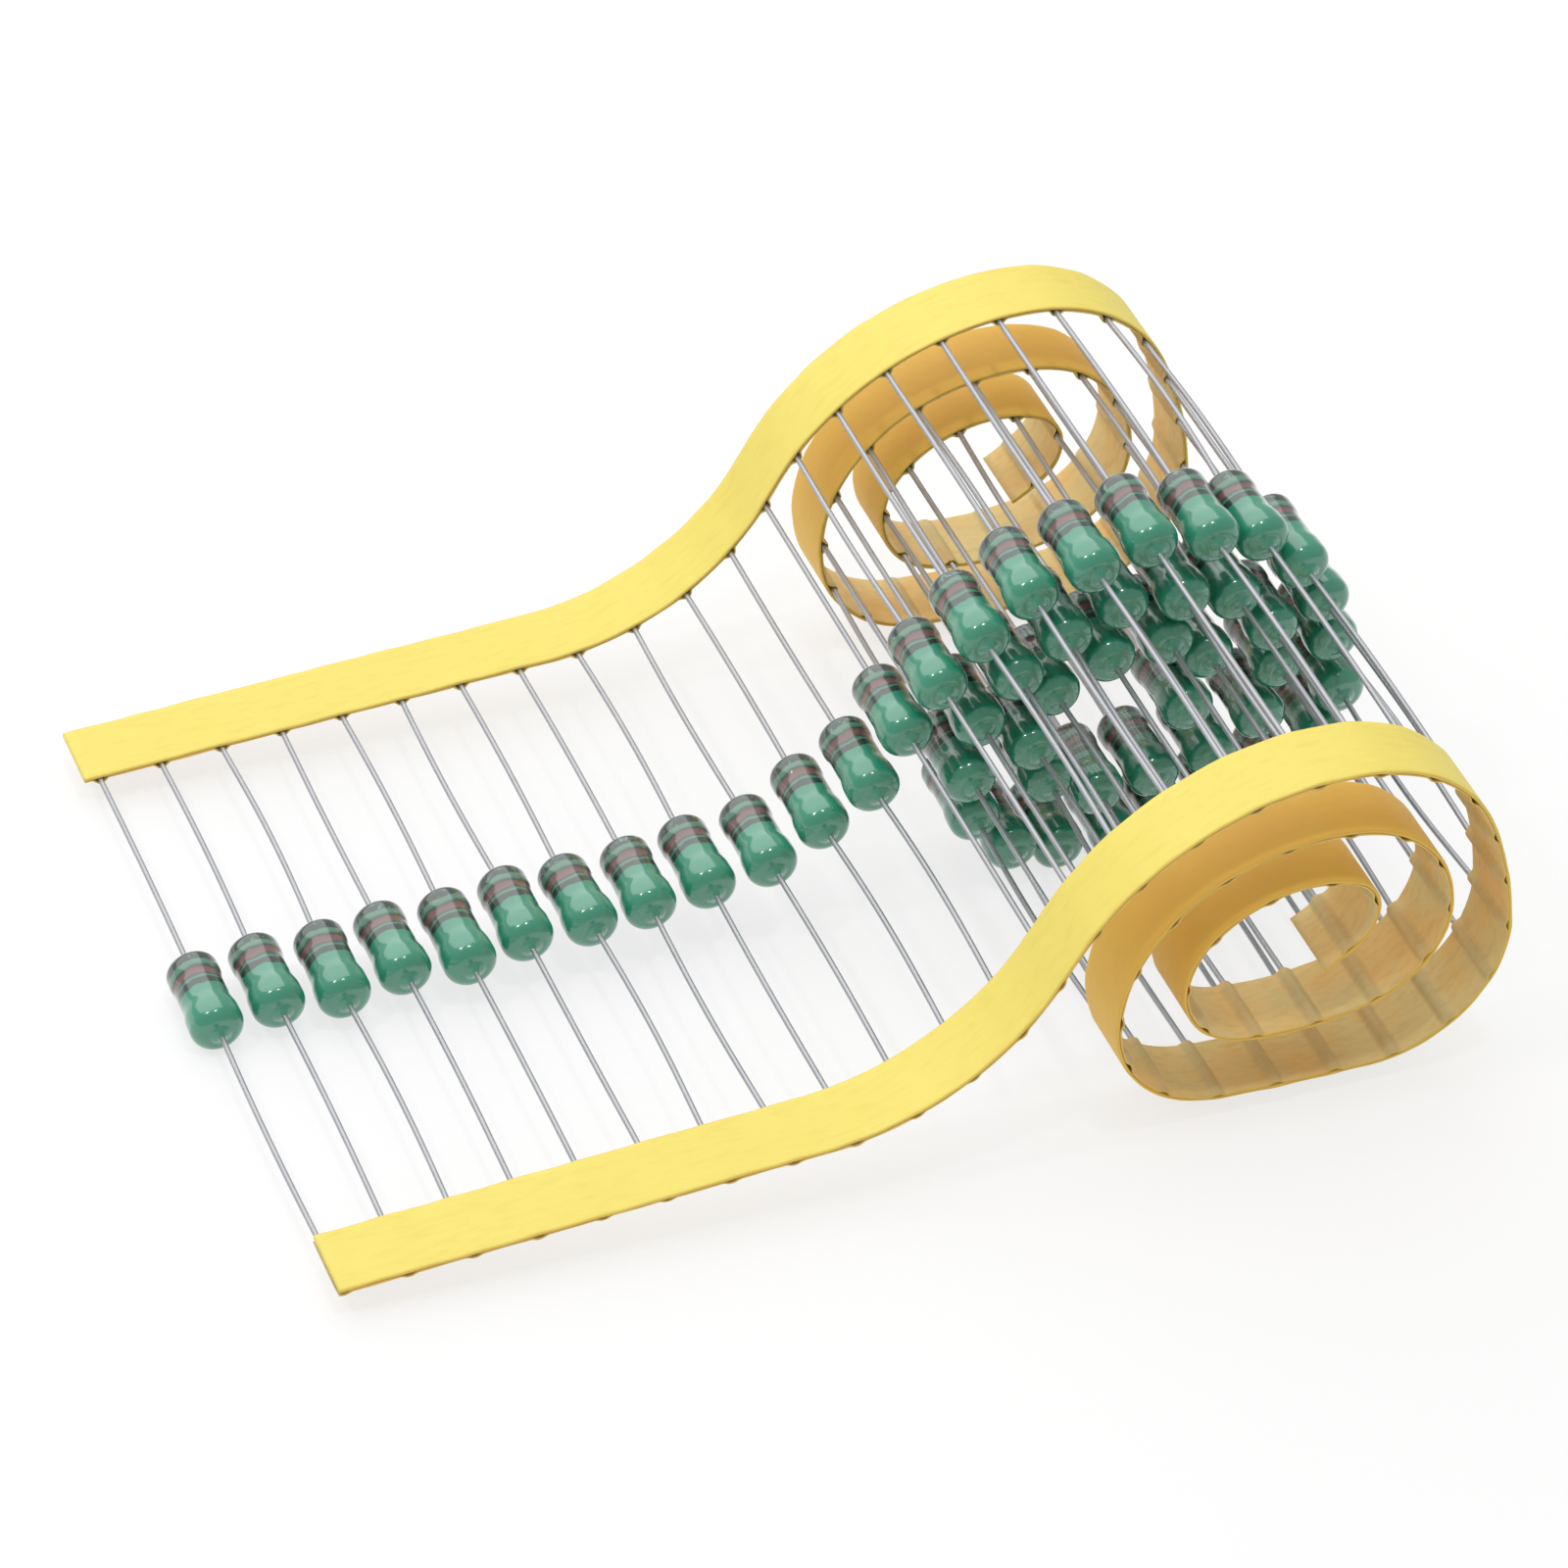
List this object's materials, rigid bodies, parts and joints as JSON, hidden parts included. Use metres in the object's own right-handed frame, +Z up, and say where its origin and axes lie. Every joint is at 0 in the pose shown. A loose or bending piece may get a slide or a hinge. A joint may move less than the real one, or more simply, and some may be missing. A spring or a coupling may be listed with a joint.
{
  "type": "taped strip of axial inductors",
  "caption": "Row of green axial inductors held by their leads between two yellow paper tapes, one end lying flat and the rest loosely rolled.",
  "frame": {"origin": "on the floor, under the middle of the whole strip's box", "axes": "+X along the strip from its flat free end to its roll, +Y along the leads towards the ringed ends of the bodies, +Z up"},
  "size_m": [0.0968, 0.064, 0.0346],
  "materials": {
    "coat": "glossy moulded resin with coloured rings",
    "ferrite": "dark matt sintered",
    "copper": "enamelled copper wire",
    "tinned_wire": "tinned, semi-bright",
    "base_tape": "smooth crepe paper",
    "cover_tape": "thin paper tape"
  },
  "bodies": {
    "root": {"inductor_body_01": "coat", "inductor_body_02": "coat", "inductor_body_03": "coat", "inductor_body_04": "coat", "inductor_body_05": "coat", "inductor_body_06": "coat", "inductor_body_07": "coat", "inductor_body_08": "coat", "inductor_body_09": "coat", "inductor_body_10": "coat", "inductor_body_11": "coat", "inductor_body_12": "coat", "inductor_body_13": "coat", "inductor_body_14": "coat", "inductor_body_15": "coat", "inductor_body_16": "coat", "inductor_body_17": "coat", "inductor_body_18": "coat", "inductor_body_19": "coat", "inductor_body_20": "coat", "inductor_body_21": "coat", "inductor_body_22": "coat", "inductor_body_23": "coat", "inductor_body_24": "coat", "inductor_body_25": "coat", "inductor_body_26": "coat", "inductor_body_27": "coat", "inductor_body_28": "coat", "inductor_body_29": "coat", "inductor_body_30": "coat", "inductor_body_31": "coat", "inductor_body_32": "coat", "inductor_body_33": "coat", "inductor_body_34": "coat", "inductor_body_35": "coat", "inductor_body_36": "coat", "inductor_body_37": "coat", "inductor_body_38": "coat", "inductor_body_39": "coat", "inductor_body_40": "coat", "inductor_body_41": "coat", "inductor_body_42": "coat", "inductor_body_43": "coat", "inductor_body_44": "coat", "inductor_body_45": "coat", "inductor_body_46": "coat", "inductor_body_47": "coat", "inductor_body_48": "coat", "inductor_body_49": "coat", "inductor_body_50": "coat", "inductor_body_51": "coat", "inductor_body_52": "coat", "ferrite_cores": "ferrite", "copper_windings": "copper", "front_leads": "tinned_wire", "rear_leads": "tinned_wire", "front_base_tape": "base_tape", "rear_base_tape": "base_tape", "front_cover_tape": "cover_tape", "rear_cover_tape": "cover_tape"}
  },
  "joints": []
}
